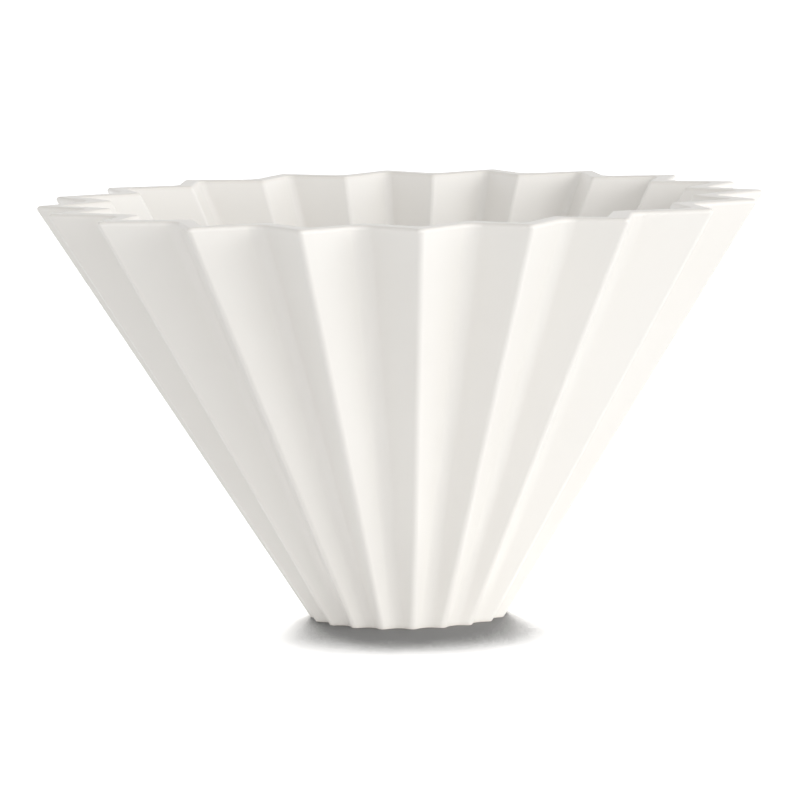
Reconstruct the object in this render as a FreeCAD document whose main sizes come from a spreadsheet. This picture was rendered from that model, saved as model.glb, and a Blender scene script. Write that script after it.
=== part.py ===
import FreeCAD, Part
import math
import os

import Sketcher

# A fluted filter cone of glazed ceramic, cast as one piece.
# The origin is the centre of the foot, +Z runs up the axis and one ridge lies on -Y.
# Outside, the flutes have ridges and valleys. Inside, a groove lies behind each ridge and a rib
# behind each valley. All flanks of one side lean alike, so their lines run to one point below.

# Driving sizes in millimetres, apart from the count
SIZES = {
    "rim_diameter": 138.0,      # across the sharp lines of two opposite ridges at the rim
    "foot_diameter": 38.0,      # the same across the foot
    "height": 79.0,             # from the foot's face to the rim
    "flute_count": 20,          # ridges around the cone
    "flute_depth": 9.7,         # from ridge to valley at the rim, before they are rounded
    "wall": 3.2,                # across a flank at the rim
    "outlet_diameter": 26.0,    # the round hole in the foot
    "outlet_land": 3.0,         # height of the hole's round wall below the grooves
    "valley_round": 2.4,        # where glaze fills the valleys
    "groove_round": 1.5,        # where glaze fills the grooves
    "ridge_round": 0.9,         # along the ridges
    "rib_round": 0.9,           # along the ribs
    "rim_round": 0.6,           # both edges of the rim
    "outlet_bevel": 0.5,        # lower edge of the hole, where the foot is rubbed flat
}

# Greatest share of a flank's narrow end, or of the foot's land, that a rounding or bevel may have
CONCAVE_SHARE = 0.6
CONVEX_SHARE = 0.35

# Lengths closer than this count as equal
TOLERANCE = 0.01

PART_NAME = "dripper_body"


def write_sheet(doc):
    """Writes the driving sizes to a sheet, each with its name as alias."""
    sheet = doc.addObject("Spreadsheet::Sheet", "sizes")
    for row, (name, value) in enumerate(SIZES.items(), start=1):
        sheet.set(f"A{row}", name)
        sheet.set(f"B{row}", str(value))
        sheet.setAlias(f"B{row}", name)
    doc.recompute()
    return sheet


# Formulas on the sheet's sizes, for the places where a feature needs more than one of them
RIM_RIDGE = "(sizes.rim_diameter / 2)"
RIM_VALLEY = "(sizes.rim_diameter / 2 - sizes.flute_depth)"
HALF_PITCH = "(180 / sizes.flute_count)"
VALLEY_SHARE = f"({RIM_VALLEY} / {RIM_RIDGE})"
FLANK_WIDTH = (
    f"sqrt({RIM_RIDGE}^2 + {RIM_VALLEY}^2"
    f" - 2 * {RIM_RIDGE} * {RIM_VALLEY} * cos({HALF_PITCH}))"
)
# Level distance from the axis to a flank's plane at the rim
RIM_REACH = f"({RIM_RIDGE} * {RIM_VALLEY} * sin({HALF_PITCH}) / {FLANK_WIDTH})"
FOOT_REACH = f"({RIM_REACH} * sizes.foot_diameter / sizes.rim_diameter)"
OUTLET_REACH = f"({RIM_REACH} * sizes.outlet_diameter / sizes.rim_diameter)"
OUTER_LEAN = f"atan(({RIM_REACH} - {FOOT_REACH}) / sizes.height)"
HOLLOW_REACH = f"({RIM_REACH} - sizes.wall / cos({OUTER_LEAN}))"
HOLLOW_DEPTH = "(sizes.height - sizes.outlet_land)"
INNER_LEAN = f"atan(({HOLLOW_REACH} - {OUTLET_REACH}) / {HOLLOW_DEPTH})"
FOOT_FLANK = f"({FLANK_WIDTH} * sizes.foot_diameter / sizes.rim_diameter)"
OUTLET_FLANK = f"({FLANK_WIDTH} * sizes.outlet_diameter / sizes.rim_diameter)"
FOOT_LAND = f"(sizes.foot_diameter / 2 * {VALLEY_SHARE} - sizes.outlet_diameter / 2)"


def origin_plane(body, role):
    """Returns one of the body's own origin planes."""
    return next(item for item in body.Origin.OriginFeatures if item.Role == role)


def new_sketch(body, name, level=None):
    """Adds a sketch square to the axis, on the foot's plane or raised by a formula."""
    sketch = body.newObject("Sketcher::SketchObject", name)
    sketch.AttachmentSupport = [(origin_plane(body, "XY_Plane"), "")]
    sketch.MapMode = "FlatFace"
    if level:
        sketch.setExpression("AttachmentOffset.Base.z", level)
    return sketch


def name_constraint(sketch, rule, name, formula):
    """Adds one constraint, names it and binds it to a formula."""
    index = sketch.addConstraint(rule)
    sketch.renameConstraint(index, name)
    sketch.setExpression(f"Constraints.{name}", formula)


def flute_outline(body, sheet, name, ridge_formula, level=None):
    """Draws the closed zigzag of the flutes between a circle of ridges and one of valleys.

    The corners lie on the two circles in turn and all sides are equal, which spaces the flutes
    evenly, and the first ridge lies on -Y.
    """
    sketch = new_sketch(body, name, level)
    corners = 2 * int(sheet.flute_count)
    start_ridge = sheet.rim_diameter / 2
    start_valley = start_ridge - sheet.flute_depth
    points = []
    for index in range(corners):
        radius = start_valley if index % 2 else start_ridge
        bearing = 2 * math.pi * index / corners - math.pi / 2
        points.append(FreeCAD.Vector(radius * math.cos(bearing), radius * math.sin(bearing), 0))
    sides = [Part.LineSegment(points[index - 1], points[index]) for index in range(corners)]
    sketch.addGeometry(sides, False)
    axis = FreeCAD.Vector(0, 0, 1)
    circles = [Part.Circle(FreeCAD.Vector(), axis, radius) for radius in (start_ridge, start_valley)]
    ridge_circle, valley_circle = sketch.addGeometry(circles, True)
    rules = []
    for index in range(corners):
        circle = valley_circle if index % 2 else ridge_circle
        rules.append(Sketcher.Constraint("Coincident", index, 2, (index + 1) % corners, 1))
        rules.append(Sketcher.Constraint("PointOnObject", index, 2, circle))
    for index in range(1, corners):
        rules.append(Sketcher.Constraint("Equal", 0, index))
    rules.append(Sketcher.Constraint("PointOnObject", 0, 2, -2))
    rules.append(Sketcher.Constraint("Coincident", ridge_circle, 3, -1, 1))
    rules.append(Sketcher.Constraint("Coincident", valley_circle, 3, -1, 1))
    sketch.addConstraint(rules)
    radius_rule = Sketcher.Constraint("Radius", ridge_circle, start_ridge)
    name_constraint(sketch, radius_rule, "ridge_radius", ridge_formula)
    radius_rule = Sketcher.Constraint("Radius", valley_circle, start_valley)
    name_constraint(sketch, radius_rule, "valley_radius", f"{ridge_formula} * {VALLEY_SHARE}")
    return sketch


def numbered(kind, items, wanted):
    """Names the faces or edges of a list that pass a test, such as Face3."""
    return [f"{kind}{index}" for index, item in enumerate(items, start=1) if wanted(item)]


def upright_faces(shape):
    """Names the flat faces that stand upright, before they are made to lean."""
    def wanted(face):
        return isinstance(face.Surface, Part.Plane) and abs(face.Surface.Axis.z) < TOLERANCE
    return numbered("Face", shape.Faces, wanted)


def level_face(shape, height):
    """Returns the number and the shape of the flat face that lies level at one height."""
    for index, face in enumerate(shape.Faces, start=1):
        box = face.BoundBox
        if max(abs(box.ZMin - height), abs(box.ZMax - height)) < TOLERANCE:
            return index, face
    raise ValueError(f"no level face at {height} mm")


def loop_edges(shape, height, outer):
    """Names the edges of the outer loop of a level face, or of its inner loop."""
    face = level_face(shape, height)[1]
    rim = face.OuterWire.Edges
    inner = [edge for wire in face.Wires for edge in wire.Edges if not wire.isSame(face.OuterWire)]
    loop = rim if outer else inner
    return numbered("Edge", shape.Edges, lambda edge: any(edge.isSame(other) for other in loop))


def corner_edges(shape, rim_height, rim_radius):
    """Names the straight corners that run up the cone and meet the rim at one radius."""
    def wanted(edge):
        low, high = sorted((vertex.Point for vertex in edge.Vertexes), key=lambda point: point.z)
        straight = abs(edge.Length - low.distanceToPoint(high)) < TOLERANCE
        upward = high.z - low.z > TOLERANCE and abs(high.z - rim_height) < TOLERANCE
        return straight and upward and abs(math.hypot(high.x, high.y) - rim_radius) < TOLERANCE
    return numbered("Edge", shape.Edges, lambda edge: len(edge.Vertexes) == 2 and wanted(edge))


def lean_faces(body, name, base, faces, neutral, formula, reverse):
    """Makes upright faces lean outwards by a formula, about the plane where they keep their size."""
    draft = body.newObject("PartDesign::Draft", name)
    draft.Base = (base, faces)
    draft.NeutralPlane = neutral
    draft.Reversed = reverse
    draft.setExpression("Angle", formula)
    body.Document.recompute()
    return draft


def round_edges(body, name, base, edges, size, limit):
    """Rounds edges by one of the sheet's sizes, or by a formula's value where that is less."""
    fillet = body.newObject("PartDesign::Fillet", name)
    fillet.Base = (base, edges)
    fillet.setExpression("Radius", f"min(sizes.{size}; {limit})")
    body.Document.recompute()
    return fillet


def cut_through(body, name, sketch):
    """Cuts a sketch's outline upwards through the rest of the body."""
    pocket = body.newObject("PartDesign::Pocket", name)
    pocket.Profile = sketch
    pocket.Type = "ThroughAll"
    pocket.Reversed = True
    before = pocket.BaseFeature.Shape.Volume
    body.Document.recompute()
    if pocket.Shape.isNull() or pocket.Shape.Volume > before - TOLERANCE:
        raise ValueError(f"{name} cut nothing")
    return pocket


def corner_radii(sheet):
    """Returns each kind of corner's distance from the axis at the rim, before it is rounded."""
    ridge = sheet.rim_diameter / 2
    valley = ridge - sheet.flute_depth
    half_pitch = math.pi / sheet.flute_count
    width = math.hypot(ridge - valley * math.cos(half_pitch), valley * math.sin(half_pitch))
    reach = ridge * valley * math.sin(half_pitch) / width
    lean = math.atan(reach * (1 - sheet.foot_diameter / sheet.rim_diameter) / sheet.height)
    hollow_share = 1 - sheet.wall / math.cos(lean) / reach
    return {
        "ridge": ridge,
        "valley": valley,
        "groove": ridge * hollow_share,
        "rib": valley * hollow_share,
    }


def fluted_cone(body, sheet, radii):
    """The solid cone: the foot's outline raised to the rim, with leaning flanks."""
    pad = body.newObject("PartDesign::Pad", "blank")
    pad.Profile = flute_outline(body, sheet, "foot_outline", "(sizes.foot_diameter / 2)")
    pad.setExpression("Length", "sizes.height")
    body.Document.recompute()
    neutral = (origin_plane(body, "XY_Plane"), [""])
    faces = upright_faces(pad.Shape)
    cone = lean_faces(body, "outer_lean", pad, faces, neutral, OUTER_LEAN, True)
    valleys = corner_edges(cone.Shape, sheet.height, radii["valley"])
    limit = f"{CONCAVE_SHARE} * {FOOT_FLANK}"
    return round_edges(body, "valley_rounds", cone, valleys, "valley_round", limit)


def fluted_hollow(body, sheet, radii):
    """The fluted hollow, which narrows to the outlet's diameter at the top of its land."""
    outline = flute_outline(
        body, sheet, "hollow_outline", "(sizes.outlet_diameter / 2)", "sizes.outlet_land")
    pocket = cut_through(body, "hollow", outline)
    neutral = (pocket, [f"Face{level_face(pocket.Shape, sheet.outlet_land)[0]}"])
    faces = upright_faces(pocket.Shape)
    shell = lean_faces(body, "inner_lean", pocket, faces, neutral, INNER_LEAN, False)
    grooves = corner_edges(shell.Shape, sheet.height, radii["groove"])
    limit = f"{CONCAVE_SHARE} * {OUTLET_FLANK}"
    return round_edges(body, "groove_rounds", shell, grooves, "groove_round", limit)


def outlet(body, sheet):
    """The round hole through the foot."""
    sketch = new_sketch(body, "outlet_outline")
    radius = sheet.outlet_diameter / 2
    circle = Part.Circle(FreeCAD.Vector(), FreeCAD.Vector(0, 0, 1), radius)
    index = sketch.addGeometry(circle, False)
    sketch.addConstraint(Sketcher.Constraint("Coincident", index, 3, -1, 1))
    radius_rule = Sketcher.Constraint("Radius", index, radius)
    name_constraint(sketch, radius_rule, "outlet_radius", "sizes.outlet_diameter / 2")
    return cut_through(body, "outlet", sketch)


def bevel_edges(body, name, base, edges, size, limit):
    """Bevels edges by one of the sheet's sizes, or by a formula's value where that is less."""
    bevel = body.newObject("PartDesign::Chamfer", name)
    bevel.Base = (base, edges)
    bevel.setExpression("Size", f"min(sizes.{size}; {limit})")
    body.Document.recompute()
    return bevel


def standing_edges(body, sheet, radii, base):
    """Rounds what stands out, first outside and then inside, and bevels the outlet."""
    height = sheet.height
    limit = f"{CONVEX_SHARE} * {FOOT_FLANK}"
    edges = corner_edges(base.Shape, height, radii["ridge"])
    ridges = round_edges(body, "ridge_rounds", base, edges, "ridge_round", limit)
    edges = loop_edges(ridges.Shape, height, outer=True)
    outside = round_edges(body, "outer_rim_round", ridges, edges, "rim_round", limit)

    limit = f"{CONVEX_SHARE} * {OUTLET_FLANK}"
    edges = corner_edges(outside.Shape, height, radii["rib"])
    ribs = round_edges(body, "rib_rounds", outside, edges, "rib_round", limit)
    edges = loop_edges(ribs.Shape, height, outer=False)
    inside = round_edges(body, "inner_rim_round", ribs, edges, "rim_round", limit)

    limit = f"{CONVEX_SHARE} * {FOOT_LAND}"
    edges = loop_edges(inside.Shape, 0, outer=False)
    return bevel_edges(body, "outlet_bevel", inside, edges, "outlet_bevel", limit)


def dripper(doc, sheet):
    """The whole cone as one body."""
    body = doc.addObject("PartDesign::Body", PART_NAME)
    body.Label = PART_NAME
    body.Placement = FreeCAD.Placement()
    radii = corner_radii(sheet)
    fluted_cone(body, sheet, radii)
    fluted_hollow(body, sheet, radii)
    opened = outlet(body, sheet)
    standing_edges(body, sheet, radii, opened)
    return body


def check_document(doc, body):
    """Stops when any object failed, or when the body isn't one valid solid."""
    for item in doc.Objects:
        if "Invalid" in item.State or "Error" in item.State:
            raise ValueError(f"{item.Name} failed: {item.State}")
    shape = body.Shape
    if shape.isNull() or not shape.isValid() or len(shape.Solids) != 1:
        raise ValueError(f"{body.Label} isn't one valid solid")


def main():
    """Builds the document, checks it and writes the part."""
    doc = FreeCAD.newDocument("fluted_dripper")
    sheet = write_sheet(doc)
    body = dripper(doc, sheet)
    check_document(doc, body)
    os.makedirs("parts", exist_ok=True)
    body.Shape.exportStep(f"parts/{PART_NAME}.step")
    box = body.Shape.optimalBoundingBox(False)
    print(f"{PART_NAME}: {box.XLength:.2f} x {box.YLength:.2f} x {box.ZLength:.2f} mm")
    print(f"volume {body.Shape.Volume / 1000:.1f} cm3, {len(body.Shape.Faces)} faces")


main()
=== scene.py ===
"""A fluted filter cone of white glazed ceramic, standing on a pale studio floor.

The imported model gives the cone's place and its box. The cone is modelled anew over it
as one glazed shell, with rounded ridges, softly filled valleys, a rounded rim and the
round outlet in its foot. The cone's and the finishes' lengths are in millimetres, and
the studio's are in metres, apart from those whose names or docstrings say otherwise.
"""

import logging
import math
from collections.abc import Callable
from dataclasses import dataclass, field, replace
from enum import Enum

import bmesh
import bpy
from mathutils import Matrix, Vector


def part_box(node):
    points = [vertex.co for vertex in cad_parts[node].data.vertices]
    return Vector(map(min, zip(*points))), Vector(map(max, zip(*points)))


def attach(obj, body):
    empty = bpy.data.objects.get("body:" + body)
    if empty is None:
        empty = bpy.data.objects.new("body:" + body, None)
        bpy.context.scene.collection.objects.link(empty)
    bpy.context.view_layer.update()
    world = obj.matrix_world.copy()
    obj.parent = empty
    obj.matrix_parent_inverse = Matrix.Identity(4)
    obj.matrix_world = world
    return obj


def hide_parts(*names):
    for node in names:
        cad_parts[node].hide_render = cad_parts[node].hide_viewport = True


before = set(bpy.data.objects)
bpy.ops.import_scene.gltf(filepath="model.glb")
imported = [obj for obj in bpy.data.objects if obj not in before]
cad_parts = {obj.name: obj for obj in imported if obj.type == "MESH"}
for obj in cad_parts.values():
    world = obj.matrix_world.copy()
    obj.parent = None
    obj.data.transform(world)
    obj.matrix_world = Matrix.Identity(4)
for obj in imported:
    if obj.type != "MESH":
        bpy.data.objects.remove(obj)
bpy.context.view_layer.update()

MM = 0.001
QUARTER_TURN = math.pi / 2

# A Mix node's inputs and output for colours, and its inputs for plain values
COLOUR_A, COLOUR_B, MIXED_COLOUR = 6, 7, 2
VALUE_A, VALUE_B = 2, 3

log = logging.getLogger("fluted_cone")


# Helpers for selecting, colours and nodes


def linear(code: str) -> tuple[float, float, float, float]:
    """Turns an sRGB hex colour into linear values.

    Args:
        code: The colour as six hex digits, with or without a leading #.

    Returns:
        Red, green, blue and an alpha of one.
    """
    digits = code.lstrip("#")
    channels = [int(digits[start:start + 2], 16) / 255 for start in (0, 2, 4)]
    values = [
        c / 12.92 if c <= 0.04045 else ((c + 0.055) / 1.055) ** 2.4 for c in channels
    ]
    return values[0], values[1], values[2], 1.0


def add_node(
    tree: bpy.types.NodeTree,
    kind: str,
    settings: dict[str | int, object] | None = None,
    links: dict[str | int, bpy.types.NodeSocket] | None = None,
) -> bpy.types.Node:
    """Adds a node with its settings and its incoming links.

    Args:
        tree: The material's or the world's node tree.
        kind: The node's type, such as ShaderNodeTexNoise.
        settings: Values by property name, or by input name or number.
        links: Output sockets by the name or number of the input that they feed.

    Returns:
        The new node.
    """
    node = tree.nodes.new(kind)
    for name, value in (settings or {}).items():
        if isinstance(name, str) and hasattr(node, name):
            setattr(node, name, value)
        else:
            node.inputs[name].default_value = value
    for name, source in (links or {}).items():
        tree.links.new(source, node.inputs[name])
    return node


def new_tree(owner: bpy.types.Material | bpy.types.World) -> bpy.types.NodeTree:
    """Switches a material or the world to nodes.

    Args:
        owner: The material or world.

    Returns:
        Its emptied tree.
    """
    owner.use_nodes = True
    owner.node_tree.nodes.clear()
    return owner.node_tree


def deselect_everything() -> None:
    """Leaves nothing selected in object mode."""
    bpy.ops.object.select_all(action="DESELECT")


def select_points(
    obj: bpy.types.Object, wanted: Callable[[bmesh.types.BMVert], bool]
) -> None:
    """Selects points by place in edit mode, with the edges and faces between them.

    Args:
        obj: The object in edit mode.
        wanted: Says whether a point is wanted.
    """
    mesh = bmesh.from_edit_mesh(obj.data)
    for point in mesh.verts:
        point.select = wanted(point)
    mesh.select_flush(True)
    mesh.select_flush(False)
    bmesh.update_edit_mesh(obj.data)


def from_axis(point: bmesh.types.BMVert) -> float:
    """Returns a point's distance from the upright axis."""
    return math.hypot(point.co.x, point.co.y)


# Finishes


class Finish(Enum):
    """The shell's finishes, by the order of their material slots."""

    GLAZED = 0
    BARE = 1


@dataclass(frozen=True)
class WhiteGlaze:
    """A clear gloss glaze over fine white stoneware.

    It looks like a warm milky white with a soft shine. Fired glaze is never quite
    level: it carries a slow swell a few millimetres across with a fine ripple on it,
    and its white and its shine drift slightly over a few centimetres. It runs thin over
    the rim's edges and at the foot, where the clay darkens it.
    """

    white: str = "#F2F0EC"
    warm_white: str = "#EEEBE6"
    thin: str = "#EAE6E0"
    rim_mm: float = 79.0
    thin_mm: float = 0.7
    thinnest_mm: float = 0.1
    drift_mm: float = 35.0
    swell_mm: float = 9.0
    swell_height_mm: float = 0.02
    ripple_mm: float = 1.6
    ripple_height_mm: float = 0.002
    roughness: float = 0.26
    dull_roughness: float = 0.36
    ior: float = 1.5
    shine: float = 0.35

    def material(self) -> bpy.types.Material:
        """Makes the glaze's material.

        Returns:
            The finished material.
        """
        made = bpy.data.materials.new("gloss_glaze_over_stoneware")
        tree = new_tree(made)
        place = add_node(tree, "ShaderNodeTexCoord").outputs["Object"]
        drift = add_node(
            tree, "ShaderNodeTexNoise",
            {"Scale": 1 / (self.drift_mm * MM), "Detail": 2.0},
            {"Vector": place},
        )
        tone = add_node(
            tree, "ShaderNodeMix",
            {
                "data_type": "RGBA",
                COLOUR_A: linear(self.white),
                COLOUR_B: linear(self.warm_white),
            },
            {"Factor": drift.outputs["Fac"]},
        )
        height = add_node(
            tree, "ShaderNodeSeparateXYZ", links={"Vector": place}
        ).outputs["Z"]
        at_rim = add_node(
            tree, "ShaderNodeMapRange",
            {
                "From Min": (self.rim_mm - self.thin_mm) * MM,
                "From Max": (self.rim_mm - self.thinnest_mm) * MM,
            },
            {"Value": height},
        )
        at_foot = add_node(
            tree, "ShaderNodeMapRange",
            {"From Min": self.thin_mm * MM, "From Max": self.thinnest_mm * MM},
            {"Value": height},
        )
        thinning = add_node(
            tree, "ShaderNodeMath", {"operation": "MAXIMUM"},
            {0: at_rim.outputs["Result"], 1: at_foot.outputs["Result"]},
        )
        colour = add_node(
            tree, "ShaderNodeMix", {"data_type": "RGBA", COLOUR_B: linear(self.thin)},
            {"Factor": thinning.outputs[0], COLOUR_A: tone.outputs[MIXED_COLOUR]},
        )
        dulling = add_node(
            tree, "ShaderNodeMapRange",
            {"To Min": self.roughness, "To Max": self.dull_roughness},
            {"Value": drift.outputs["Fac"]},
        )
        swell = add_node(
            tree, "ShaderNodeTexNoise",
            {"Scale": 1 / (self.swell_mm * MM), "Detail": 1.0},
            {"Vector": place},
        )
        ripple = add_node(
            tree, "ShaderNodeTexNoise",
            {"Scale": 1 / (self.ripple_mm * MM), "Detail": 2.0},
            {"Vector": place},
        )
        swell_bump = add_node(
            tree, "ShaderNodeBump",
            {"Strength": 1.0, "Distance": self.swell_height_mm * MM},
            {"Height": swell.outputs["Fac"]},
        )
        ripple_bump = add_node(
            tree, "ShaderNodeBump",
            {"Strength": 1.0, "Distance": self.ripple_height_mm * MM},
            {"Height": ripple.outputs["Fac"], "Normal": swell_bump.outputs["Normal"]},
        )
        shader = add_node(
            tree, "ShaderNodeBsdfPrincipled",
            {"IOR": self.ior, "Specular IOR Level": self.shine},
            {
                "Base Color": colour.outputs[MIXED_COLOUR],
                "Roughness": dulling.outputs["Result"],
                "Normal": ripple_bump.outputs["Normal"],
            },
        )
        add_node(
            tree, "ShaderNodeOutputMaterial", links={"Surface": shader.outputs["BSDF"]}
        )
        return made


@dataclass(frozen=True)
class BareStoneware:
    """Fired white stoneware without glaze, rubbed flat.

    It looks dull and slightly darker than the glaze, with a fine sandy grain and a
    faint mottle a few millimetres across.
    """

    body: str = "#DDD7CB"
    shade: str = "#CFC7B8"
    mottle_mm: float = 4.0
    grain_mm: float = 0.35
    grain_height_mm: float = 0.03
    grain_strength: float = 0.6
    roughness: float = 0.85

    def material(self) -> bpy.types.Material:
        """Makes the bare stoneware's material.

        Returns:
            The finished material.
        """
        made = bpy.data.materials.new("bare_fired_stoneware")
        tree = new_tree(made)
        place = add_node(tree, "ShaderNodeTexCoord").outputs["Object"]
        mottle = add_node(
            tree, "ShaderNodeTexNoise",
            {"Scale": 1 / (self.mottle_mm * MM), "Detail": 3.0},
            {"Vector": place},
        )
        tone = add_node(
            tree, "ShaderNodeMix",
            {
                "data_type": "RGBA",
                COLOUR_A: linear(self.body),
                COLOUR_B: linear(self.shade),
            },
            {"Factor": mottle.outputs["Fac"]},
        )
        grain = add_node(
            tree, "ShaderNodeTexNoise",
            {"Scale": 1 / (self.grain_mm * MM), "Detail": 2.0},
            {"Vector": place},
        )
        bump = add_node(
            tree, "ShaderNodeBump",
            {"Strength": self.grain_strength, "Distance": self.grain_height_mm * MM},
            {"Height": grain.outputs["Fac"]},
        )
        shader = add_node(
            tree, "ShaderNodeBsdfPrincipled",
            {"Roughness": self.roughness},
            {
                "Base Color": tone.outputs[MIXED_COLOUR],
                "Normal": bump.outputs["Normal"],
            },
        )
        add_node(
            tree, "ShaderNodeOutputMaterial", links={"Surface": shader.outputs["BSDF"]}
        )
        return made


# The fluted cone


@dataclass(frozen=True)
class Flutes:
    """The zigzag that every level of the wall follows, with its size at the rim."""

    count: int = 20
    ridge: float = 69.0
    valley: float = 59.3

    def half_pitch(self) -> float:
        """Returns the angle around the axis from a ridge to the next valley."""
        return math.pi / self.count

    def flank(self) -> float:
        """Measures a flank between its two sharp corners.

        Returns:
            The flank's width.
        """
        across = self.valley * math.sin(self.half_pitch())
        along = self.ridge - self.valley * math.cos(self.half_pitch())
        return math.hypot(across, along)

    def reach(self) -> float:
        """Returns the distance from the axis to a flank's line."""
        return self.ridge * self.valley * math.sin(self.half_pitch()) / self.flank()

    def ridge_angle(self) -> float:
        """Returns half the angle of a ridge's corner."""
        return math.asin(self.reach() / self.ridge)

    def valley_angle(self) -> float:
        """Returns half the angle of a valley's corner."""
        return self.ridge_angle() + self.half_pitch()


@dataclass(frozen=True)
class Level:
    """One level outline: its height, its flanks' reach and its corners' radii."""

    height: float
    reach: float
    ridge_round: float
    valley_round: float


@dataclass
class DripperBody:
    """The cone: one glazed wall in deep flutes, up from the foot and down inside.

    Firing leaves the flutes slightly uneven. Each turned corner is counted in half
    flutes from the front ridge, towards +X, with the degrees by which it has turned at
    the rim. Below the rim it has turned less, in step with the height. The corners'
    radii are those of a level cut.
    """

    name: str = "glazed_cone"
    flutes: Flutes = field(default_factory=Flutes)
    height: float = 79.0
    foot_share: float = 38.0 / 138.0
    outlet_share: float = 26.0 / 138.0
    wall: float = 3.2
    outlet_radius: float = 13.0
    outlet_land: float = 3.0
    outlet_cutter: float = 24.0
    outlet_steps: int = 160
    hollow_floor: float = 3.4
    ridge_round: float = 1.0
    ridge_steps: int = 6
    valley_round: float = 2.2
    rim_valley_round: float = 3.0
    valley_steps: int = 8
    groove_round: float = 1.32
    rib_round: float = 0.8
    rim_round: float = 0.6
    rim_steps: int = 6
    foot_round: float = 0.2
    outlet_round: float = 0.5
    outlet_round_steps: int = 3
    turned_corners: tuple[tuple[int, float], ...] = (
        (-8, -2.1), (-6, -1.7), (-5, -0.4), (-3, -0.4), (-2, 0.6), (0, 0.8),
        (1, 1.2), (2, -0.2), (3, 0.6), (4, -1.7), (5, -1.6), (6, -0.3),
    )
    wall_cuts: int = 24
    crease_degrees: float = 32.0
    closest: float = 0.0001
    merged: float = 0.001
    touching: float = 0.01

    def foot_reach(self) -> float:
        """Returns the reach of the outer flanks at the foot."""
        return self.flutes.reach() * self.foot_share

    def outer_reach(self, height: float) -> float:
        """Returns the reach of the outer flanks at one height."""
        spread = self.flutes.reach() - self.foot_reach()
        return self.foot_reach() + spread * height / self.height

    def outer_lean(self) -> float:
        """Returns the angle by which the outer flanks lean outwards."""
        return math.atan((self.flutes.reach() - self.foot_reach()) / self.height)

    def hollow_reach(self) -> float:
        """Returns the reach of the inner flanks at the rim."""
        return self.flutes.reach() - self.wall / math.cos(self.outer_lean())

    def inner_slope(self) -> float:
        """Returns how far the inner flanks lean outwards for a millimetre of height."""
        low = self.flutes.reach() * self.outlet_share
        return (self.hollow_reach() - low) / (self.height - self.outlet_land)

    def inner_reach(self, height: float) -> float:
        """Returns the reach of the inner flanks at one height."""
        return self.hollow_reach() - self.inner_slope() * (self.height - height)

    def valley_radius(self, height: float) -> float:
        """Returns the radius of the glaze that fills the valleys at one height."""
        growth = self.rim_valley_round - self.valley_round
        return self.valley_round + growth * height / self.height

    def outer_level(self, centre_height: float, ball: float, turn: float) -> Level:
        """Gives the outline that a ball rolled along the wall's outer side leaves.

        Args:
            centre_height: The height of the ball's centre.
            ball: The ball's radius.
            turn: The surface's slope there, from a quarter turn down underneath to a
                quarter turn up on top.

        Returns:
            The level.
        """
        centre = self.outer_reach(centre_height) - ball / math.cos(self.outer_lean())
        side = ball * math.cos(turn)
        return Level(
            centre_height + ball * math.sin(turn),
            centre + side,
            self.ridge_round - ball + side,
            self.valley_radius(centre_height) + ball - side,
        )

    def inner_level(self, centre_height: float, ball: float, turn: float) -> Level:
        """Gives the outline that a ball rolled along the wall's inner side leaves.

        Args:
            centre_height: The height of the ball's centre.
            ball: The ball's radius.
            turn: The surface's slope there, from a quarter turn up on top to the inner
                flanks' lean.

        Returns:
            The level.
        """
        inner_lean = math.atan(self.inner_slope())
        centre = self.inner_reach(centre_height) + ball / math.cos(inner_lean)
        side = ball * math.cos(turn)
        return Level(
            centre_height + ball * math.sin(turn),
            centre - side,
            self.groove_round + ball - side,
            self.rib_round - ball + side,
        )

    def levels(self) -> list[Level]:
        """Lists the wall's outlines.

        Returns:
            The levels in order, from the foot over the rim to the hollow's floor.
        """
        lean = self.outer_lean()
        inner_lean = math.atan(self.inner_slope())
        foot_turns = [
            -QUARTER_TURN, -0.75 * QUARTER_TURN, -0.5 * QUARTER_TURN, -lean,
        ]
        steps = range(self.rim_steps + 1)
        outer_turns = [
            -lean + (QUARTER_TURN + lean) * step / self.rim_steps for step in steps
        ]
        inner_turns = [
            QUARTER_TURN - (QUARTER_TURN - inner_lean) * step / self.rim_steps
            for step in steps
        ]
        rim_centre = self.height - self.rim_round
        found = [
            self.outer_level(self.foot_round, self.foot_round, turn)
            for turn in foot_turns
        ]
        found += [
            self.outer_level(rim_centre, self.rim_round, turn) for turn in outer_turns
        ]
        found += [
            self.inner_level(rim_centre, self.rim_round, turn) for turn in inner_turns
        ]
        floor = self.hollow_floor
        found.append(
            Level(floor, self.inner_reach(floor), self.groove_round, self.rib_round)
        )
        return found

    def add_outline(self, obj: bpy.types.Object, level: Level) -> None:
        """Draws one outline: a circle, pulled in at the valleys and then rounded.

        The new points are the only ones in the mesh that touch no face yet.

        Args:
            obj: The shell's object in edit mode.
            level: The outline's place and radii.
        """
        ridge = level.reach / math.sin(self.flutes.ridge_angle()) * MM
        valley = level.reach / math.sin(self.flutes.valley_angle()) * MM
        between = (ridge + valley) / 2
        centre = (0.0, 0.0, level.height * MM)
        half_pitch = self.flutes.half_pitch()
        bpy.ops.mesh.select_all(action="DESELECT")
        bpy.ops.mesh.primitive_circle_add(
            vertices=2 * self.flutes.count, radius=ridge, location=centre
        )

        def in_valley(point: bmesh.types.BMVert) -> bool:
            """Says whether a new point lies halfway between two ridges."""
            bearing = math.atan2(point.co.y, point.co.x) + QUARTER_TURN
            return point.is_wire and round(bearing / half_pitch) % 2 == 1

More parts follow.
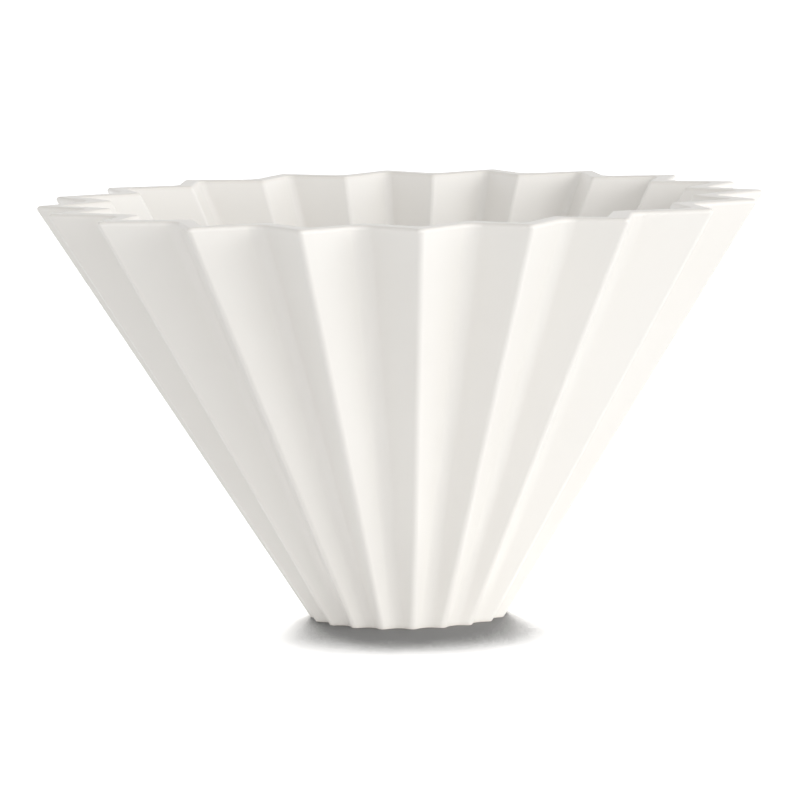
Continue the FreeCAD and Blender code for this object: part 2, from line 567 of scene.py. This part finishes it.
        select_points(obj, in_valley)
        share = valley / ridge
        bpy.ops.transform.resize(value=(share, share, 1.0), center_override=centre)
        self.turn_corners(obj, ridge, valley, level.height / self.height)
        ridge_offset = level.ridge_round / math.tan(self.flutes.ridge_angle()) * MM
        valley_offset = level.valley_round / math.tan(self.flutes.valley_angle()) * MM
        select_points(obj, lambda point: point.is_wire and from_axis(point) > between)
        bpy.ops.mesh.bevel(
            offset=ridge_offset, offset_type="ABSOLUTE", affect="VERTICES",
            segments=self.ridge_steps, profile=0.5, clamp_overlap=False,
        )
        close = self.closest * MM
        select_points(
            obj,
            lambda point: point.is_wire and abs(from_axis(point) - valley) < close,
        )
        bpy.ops.mesh.bevel(
            offset=valley_offset, offset_type="ABSOLUTE", affect="VERTICES",
            segments=self.valley_steps, profile=0.5, clamp_overlap=False,
        )

    def turn_corners(
        self, obj: bpy.types.Object, ridge: float, valley: float, share: float
    ) -> None:
        """Moves the uneven corners of a new outline round the axis.

        Args:
            obj: The shell's object in edit mode.
            ridge: The ridges' distance from the axis in metres.
            valley: The valleys' distance from the axis in metres.
            share: How much of the turn at the rim this level has.
        """
        near = 0.05 * (ridge - valley)
        for corner, degrees in self.turned_corners:
            radius = valley if corner % 2 else ridge
            bearing = corner * self.flutes.half_pitch()
            turned = bearing + math.radians(degrees) * share
            start = Vector(
                (radius * math.sin(bearing), -radius * math.cos(bearing), 0.0)
            )
            end = Vector((radius * math.sin(turned), -radius * math.cos(turned), 0.0))
            select_points(
                obj,
                lambda point: point.is_wire and (point.co.xy - start.xy).length < near,
            )
            bpy.ops.transform.translate(value=end - start)

    def select_open_edges(self) -> None:
        """Selects the edges with fewer than two faces."""
        bpy.ops.mesh.select_all(action="DESELECT")
        bpy.ops.mesh.select_non_manifold(
            use_multi_face=False, use_non_contiguous=False, use_verts=False
        )

    def bridge_to(self, shell: bpy.types.Object, before: Level, level: Level) -> None:
        """Draws the next outline and bridges it to the last one.

        Across the rim both lie in one plane, where a bridge can turn round, so the new
        outline is drawn above its place there and lowered once it is joined.

        Args:
            shell: The shell in edit mode.
            before: The last outline.
            level: The new one.
        """
        rise = abs(level.height - before.height)
        flat = rise < self.merged
        lift = self.height if flat else 0.0
        cuts = self.wall_cuts if rise > self.height / 2 else 0
        self.add_outline(shell, replace(level, height=level.height + lift))
        self.select_open_edges()
        bpy.ops.mesh.bridge_edge_loops(number_cuts=cuts, interpolation="LINEAR")
        if flat:
            above_rim = (self.height + 1) * MM
            select_points(shell, lambda point: point.co.z > above_rim)
            bpy.ops.transform.translate(value=(0.0, 0.0, -lift * MM))

    def build(self) -> bpy.types.Object:
        """Models the shell: each outline is drawn and bridged to the one before.

        Returns:
            The finished object.
        """
        deselect_everything()
        levels = self.levels()
        bpy.ops.mesh.primitive_circle_add(vertices=3, radius=MM, location=(0, 0, 0))
        shell = bpy.context.object
        shell.name = self.name
        shell.data.name = self.name
        bpy.ops.object.mode_set(mode="EDIT")
        bpy.ops.mesh.select_mode(type="VERT")
        bpy.ops.mesh.delete(type="VERT")
        self.add_outline(shell, levels[0])
        bpy.ops.mesh.select_all(action="SELECT")
        bpy.ops.mesh.edge_face_add()
        for before, level in zip(levels, levels[1:]):
            self.bridge_to(shell, before, level)
        self.select_open_edges()
        bpy.ops.mesh.edge_face_add()
        bpy.ops.mesh.select_all(action="SELECT")
        bpy.ops.mesh.normals_make_consistent(inside=False)
        bpy.ops.object.mode_set(mode="OBJECT")
        self.cut_outlet(shell)
        self.smooth(shell)
        return shell

    def cut_outlet(self, shell: bpy.types.Object) -> None:
        """Cuts the round outlet through the foot and rounds its lower edge.

        Args:
            shell: The shell in object mode.
        """
        deselect_everything()
        bpy.ops.mesh.primitive_cylinder_add(
            vertices=self.outlet_steps, radius=self.outlet_radius * MM,
            depth=self.outlet_cutter * MM, location=(0, 0, 0),
        )
        cutter = bpy.context.object
        deselect_everything()
        shell.select_set(True)
        bpy.context.view_layer.objects.active = shell
        cut = shell.modifiers.new("outlet", "BOOLEAN")
        cut.operation = "DIFFERENCE"
        cut.solver = "EXACT"
        cut.object = cutter
        bpy.ops.object.modifier_apply(modifier=cut.name)
        bpy.data.objects.remove(cutter)
        bpy.ops.object.mode_set(mode="EDIT")
        bpy.ops.mesh.select_all(action="SELECT")
        bpy.ops.mesh.remove_doubles(threshold=self.merged * MM)
        close = self.touching * MM
        limit = (self.outlet_radius + self.touching) * MM
        select_points(
            shell, lambda point: abs(point.co.z) < close and from_axis(point) < limit
        )
        bpy.ops.mesh.bevel(
            offset=self.outlet_round * MM, affect="EDGES",
            segments=self.outlet_round_steps, profile=0.5, clamp_overlap=False,
        )
        bpy.ops.object.mode_set(mode="OBJECT")

    def smooth(self, shell: bpy.types.Object) -> None:
        """Smooths the rounded corners and keeps the flanks flat.

        Args:
            shell: The shell in object mode.
        """
        bpy.ops.object.shade_smooth_by_angle(angle=math.radians(self.crease_degrees))
        weights = shell.modifiers.new("flat_flanks", "WEIGHTED_NORMAL")
        weights.keep_sharp = True
        bpy.ops.object.modifier_apply(modifier=weights.name)

    def dress(
        self, shell: bpy.types.Object, glaze: WhiteGlaze, bare: BareStoneware
    ) -> None:
        """Glazes the shell and leaves the foot's face bare.

        Args:
            shell: The finished shell.
            glaze: The glaze.
            bare: The unglazed foot's finish.
        """
        shell.data.materials.clear()
        shell.data.materials.append(glaze.material())
        shell.data.materials.append(bare.material())
        foot_level = 0.05 * MM
        facing_down = -0.9
        for face in shell.data.polygons:
            under = face.center.z < foot_level and face.normal.z < facing_down
            face.material_index = Finish.BARE.value if under else Finish.GLAZED.value
        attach(shell, "root")
        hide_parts("dripper_body")


# The studio


@dataclass(frozen=True)
class Lamp:
    """A square soft box: its place, its side and its power in watts."""

    name: str
    place: tuple[float, float, float]
    side: float
    power: float

    def add(self, target: Vector) -> None:
        """Adds the lamp and turns it to a point.

        Args:
            target: The point.
        """
        light = bpy.data.lights.new(self.name, "AREA")
        light.shape = "SQUARE"
        light.size = self.side
        light.energy = self.power
        lamp = bpy.data.objects.new(self.name, light)
        bpy.context.scene.collection.objects.link(lamp)
        lamp.location = self.place
        aim = target - Vector(self.place)
        lamp.rotation_euler = aim.to_track_quat("-Z", "Y").to_euler()


@dataclass(frozen=True)
class ViewPoint:
    """The camera at the photograph's viewing angle.

    The eye is in millimetres, the turns are in radians, the focal length is in pixels
    of the picture's width, and the clipping distances are in metres.
    """

    eye: tuple[float, float, float] = (-43.2253, -1120.6963, 170.7204)
    yaw: float = 0.0378
    pitch: float = -0.1153
    roll: float = -0.0198
    focal_pixels: float = 6003.0
    picture_pixels: float = 800.0
    sensor_mm: float = 36.0
    clip_near: float = 0.01
    clip_far: float = 50.0

    def add(self) -> None:
        """Adds the camera and makes it the scene's own."""
        level = math.cos(self.pitch)
        forward = Vector(
            (
                math.sin(self.yaw) * level,
                math.cos(self.yaw) * level,
                math.sin(self.pitch),
            )
        )
        right = forward.cross(Vector((0, 0, 1))).normalized()
        up = right.cross(forward)
        cosine, sine = math.cos(self.roll), math.sin(self.roll)
        turned_right = cosine * right + sine * up
        turned_up = cosine * up - sine * right
        lens = bpy.data.cameras.new("camera")
        lens.sensor_width = self.sensor_mm
        lens.lens = self.focal_pixels / self.picture_pixels * self.sensor_mm
        lens.clip_start = self.clip_near
        lens.clip_end = self.clip_far
        camera = bpy.data.objects.new("camera", lens)
        bpy.context.scene.collection.objects.link(camera)
        turn = Matrix((turned_right, turned_up, -forward)).transposed().to_4x4()
        camera.matrix_world = Matrix.Translation(Vector(self.eye) * MM) @ turn
        bpy.context.scene.camera = camera


@dataclass
class Studio:
    """The floor, the surroundings, the lamp and the camera.

    The floor's contact values say how far and how deep the shadow painted into the
    floor's colour under the cone goes, which way the paper is taken to face in it, and
    how open the paper is to its surroundings where the painted shadow is deepest and
    where it ends. The four light values are the surroundings' strengths to the left and
    right, multiplied by those at the horizon and straight above.
    """

    floor_side: float = 6.0
    floor_white: float = 0.88
    floor_lift: float = 2.3
    # The contact values set a painted shadow: the floor's colour is darkened near the
    # cone.
    contact_mm: float = 54.0
    painted_shadow_darkest: float = 0.25
    contact_facing: tuple[float, float, float] = (-0.02, 0.93, 0.36)
    contact_samples: int = 32
    open_from: float = 0.49
    open_to: float = 0.68
    left_light: float = 0.9
    right_light: float = 1.37
    horizon_light: float = 1.52
    zenith_light: float = 0.12
    lamps: tuple[Lamp, ...] = (
        Lamp("right_softbox", (1.35, -1.2, 0.3), 1.3, 14.5),
    )
    camera: ViewPoint = field(default_factory=ViewPoint)

    def seen_directly(self, tree: bpy.types.NodeTree) -> bpy.types.NodeSocket:
        """Gives a value of one for rays from the camera, mirrors and glass, else zero.

        Args:
            tree: The tree that uses it.

        Returns:
            The value's socket.
        """
        path = add_node(tree, "ShaderNodeLightPath")
        direct = add_node(
            tree, "ShaderNodeMath", {"operation": "ADD"},
            {0: path.outputs["Is Camera Ray"], 1: path.outputs["Is Glossy Ray"]},
        )
        total = add_node(
            tree, "ShaderNodeMath", {"operation": "ADD", "use_clamp": True},
            {0: direct.outputs[0], 1: path.outputs["Is Transmission Ray"]},
        )
        return total.outputs[0]

    def floor_material(self) -> bpy.types.Material:
        """Makes a matt white paper that looks full white outside the shadow painted
        under the cone.

        The painted shadow darkens the paper's colour where the cone closes the paper
        in, which is judged facing back and up from the paper, so that it falls towards
        the front. Light from the paper on the cone is that of plain white paper.

        Returns:
            The finished material.
        """
        made = bpy.data.materials.new("matt_white_paper_painted_shadow")
        tree = new_tree(made)
        facing = add_node(
            tree, "ShaderNodeCombineXYZ",
            dict(zip(("X", "Y", "Z"), self.contact_facing)),
        )
        # Painted shadow: how closed in the paper is near the cone, read from ambient
        # occlusion.
        painted_shadow_closeness = add_node(
            tree, "ShaderNodeAmbientOcclusion",
            {"Distance": self.contact_mm * MM, "samples": self.contact_samples},
            {"Normal": facing.outputs["Vector"]},
        )
        # Painted shadow: the paper's colour goes down to its darkest where it is closed
        # in, and full white beyond.
        level = add_node(
            tree, "ShaderNodeMapRange",
            {
                "interpolation_type": "SMOOTHSTEP",
                "From Min": self.open_from,
                "From Max": self.open_to,
                "To Min": self.painted_shadow_darkest,
                "To Max": self.floor_white * self.floor_lift,
            },
            {"Value": painted_shadow_closeness.outputs["AO"]},
        )
        tone = add_node(
            tree, "ShaderNodeCombineColor",
            links={name: level.outputs["Result"] for name in ("Red", "Green", "Blue")},
        )
        # The camera sees the paper with the painted shadow in its colour; other rays
        # see plain paper.
        seen = add_node(
            tree, "ShaderNodeBsdfDiffuse", links={"Color": tone.outputs["Color"]}
        )
        white = (self.floor_white,) * 3 + (1.0,)
        paper = add_node(tree, "ShaderNodeBsdfDiffuse", {"Color": white})
        either = add_node(
            tree, "ShaderNodeMixShader",
            links={
                0: self.seen_directly(tree),
                1: paper.outputs["BSDF"],
                2: seen.outputs["BSDF"],
            },
        )
        add_node(
            tree, "ShaderNodeOutputMaterial",
            links={"Surface": either.outputs["Shader"]},
        )
        return made

    def add_floor(self) -> None:
        """Adds the floor."""
        deselect_everything()
        bpy.ops.mesh.primitive_plane_add(size=self.floor_side, location=(0, 0, 0))
        floor = bpy.context.object
        floor.name = "studio_floor"
        floor.data.materials.append(self.floor_material())

    def add_world(self) -> None:
        """Adds soft light all round, stronger from the right and from low down.

        The camera sees it as plain white.
        """
        world = bpy.data.worlds.new("studio")
        bpy.context.scene.world = world
        tree = new_tree(world)
        towards = add_node(tree, "ShaderNodeTexCoord").outputs["Generated"]
        across = add_node(tree, "ShaderNodeSeparateXYZ", links={"Vector": towards})
        around = add_node(
            tree, "ShaderNodeMapRange",
            {
                "From Min": -1.0,
                "From Max": 1.0,
                "To Min": self.left_light,
                "To Max": self.right_light,
            },
            {"Value": across.outputs["X"]},
        )
        upwards = add_node(
            tree, "ShaderNodeMapRange",
            {"To Min": self.horizon_light, "To Max": self.zenith_light},
            {"Value": across.outputs["Z"]},
        )
        light = add_node(
            tree, "ShaderNodeMath", {"operation": "MULTIPLY"},
            {0: around.outputs["Result"], 1: upwards.outputs["Result"]},
        )
        strength = add_node(
            tree, "ShaderNodeMix", {VALUE_B: 1.0},
            {"Factor": self.seen_directly(tree), VALUE_A: light.outputs[0]},
        )
        sky = add_node(
            tree, "ShaderNodeBackground", {"Color": (1.0, 1.0, 1.0, 1.0)},
            {"Strength": strength.outputs[0]},
        )
        add_node(
            tree, "ShaderNodeOutputWorld", links={"Surface": sky.outputs["Background"]}
        )

    def build(self, target: Vector) -> None:
        """Adds the whole studio.

        Args:
            target: The point that the lamps are aimed at.
        """
        bpy.context.scene.view_settings.view_transform = "Standard"
        self.add_floor()
        self.add_world()
        for lamp in self.lamps:
            lamp.add(target)
        self.camera.add()


def main() -> None:
    """Builds the cone and the studio."""
    logging.basicConfig(level=logging.INFO, format="%(message)s")
    cone = DripperBody()
    shell = cone.build()
    cone.dress(shell, WhiteGlaze(), BareStoneware())
    log.info("%s: %d faces", shell.name, len(shell.data.polygons))
    low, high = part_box("dripper_body")
    Studio().build((low + high) / 2)
    log.info("studio: floor, surroundings, lamp and camera")


if __name__ == "__main__":
    main()
